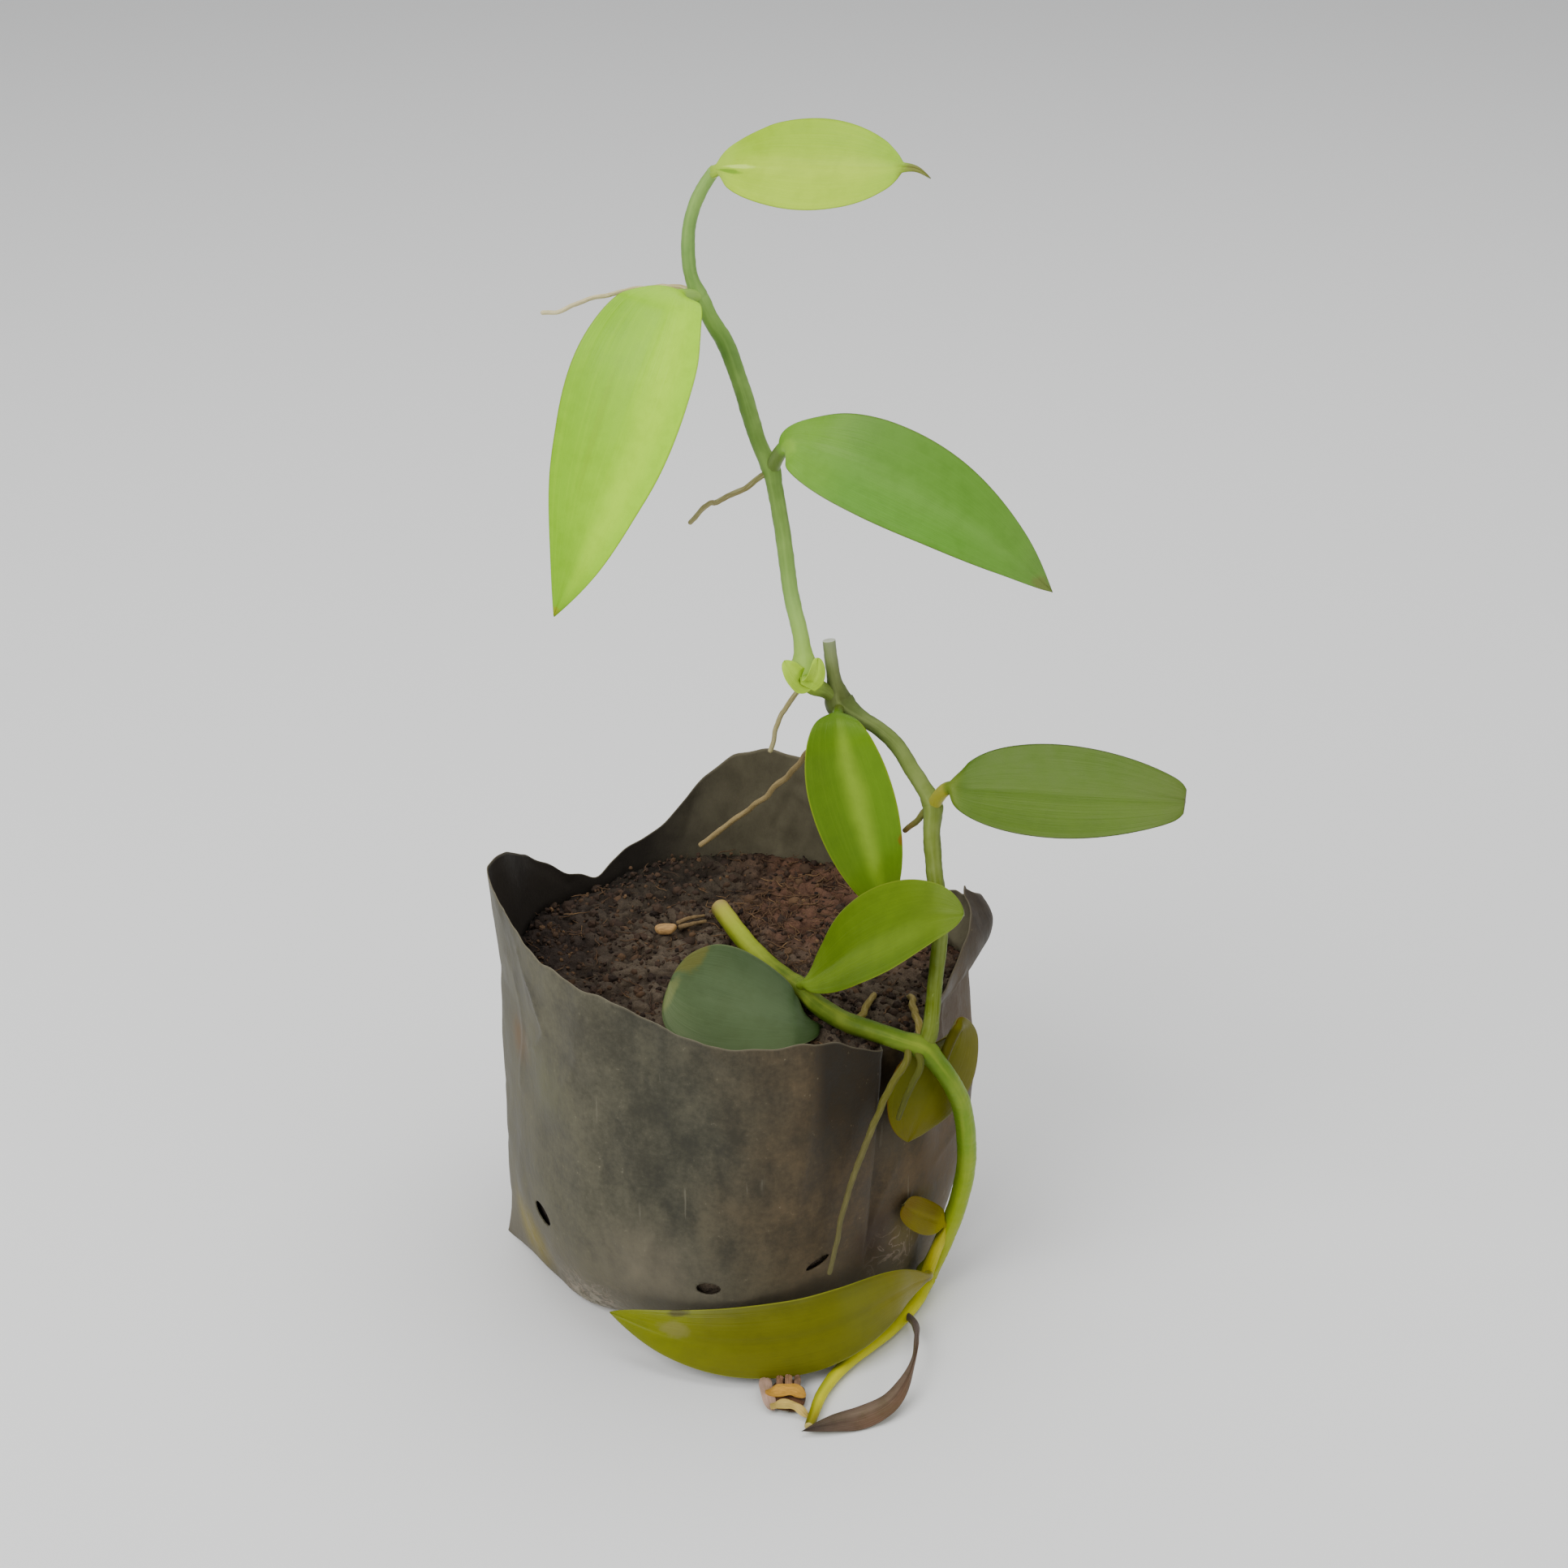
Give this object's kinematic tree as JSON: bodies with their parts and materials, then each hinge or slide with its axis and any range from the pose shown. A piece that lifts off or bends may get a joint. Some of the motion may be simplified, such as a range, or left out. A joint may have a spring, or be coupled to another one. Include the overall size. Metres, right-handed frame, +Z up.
{
  "type": "vanilla orchid in a grow bag",
  "caption": "Young vanilla orchid vine with fleshy leaves and aerial roots, rooted in a soil-filled black film grow bag; its old vine bends over the rim and trails on the surface.",
  "frame": {"origin": "centre of the grow bag's flat underside", "axes": "+Z up along the plant; the front of the bag, over whose right side the old vine bends, faces -Y; +X to the right"},
  "size_m": [0.1784, 0.15, 0.3193],
  "materials": {
    "film": "dusty black polythene film with a soft sheen",
    "compost": "damp crumbly coco and leaf mould",
    "old_vine": "smooth fleshy skin, satin",
    "branch": "smooth fleshy skin, satin",
    "shoot": "smooth fleshy skin, satin",
    "bract": "smooth fleshy skin, satin",
    "leaf_top": "waxy leaf, soft gloss",
    "leaf_left": "waxy leaf, soft gloss",
    "leaf_right": "waxy leaf, soft gloss",
    "leaf_hanging": "waxy leaf, soft gloss",
    "leaf_side": "waxy leaf, soft gloss",
    "leaf_over_soil": "waxy leaf, soft gloss",
    "leaf_rim": "dull old leaf",
    "leaf_shaded": "waxy leaf, soft gloss",
    "leaf_ground": "waxy leaf, soft gloss",
    "dry_leaf": "dry papery leaf",
    "dry_husk": "dry papery husk",
    "withered_scale": "withered, dull",
    "root": "dry root skin",
    "chip": "bare wood",
    "strand": "dry bark"
  },
  "bodies": {
    "root": {"grow_bag": "film", "soil": "compost", "trailing_stem": "old_vine", "climbing_stem": "branch", "young_shoot": "shoot", "shoot_bract": "bract", "leaf_top": "leaf_top", "leaf_left": "leaf_left", "leaf_right": "leaf_right", "leaf_hanging": "leaf_hanging", "leaf_side": "leaf_side", "leaf_over_soil": "leaf_over_soil", "leaf_rim": "leaf_rim", "leaf_shaded": "leaf_shaded", "leaf_ground": "leaf_ground", "dry_leaf": "dry_leaf", "dry_husk": "dry_husk", "withered_scale": "withered_scale", "root_upper_left": "root", "root_middle": "root", "root_short": "root", "root_long": "root", "root_stub": "root", "root_wall": "root", "root_wall_side": "root", "root_anchor": "root", "root_buried": "root", "soil_chip": "chip", "soil_strand_1": "strand", "soil_strand_2": "strand"}
  },
  "joints": []
}
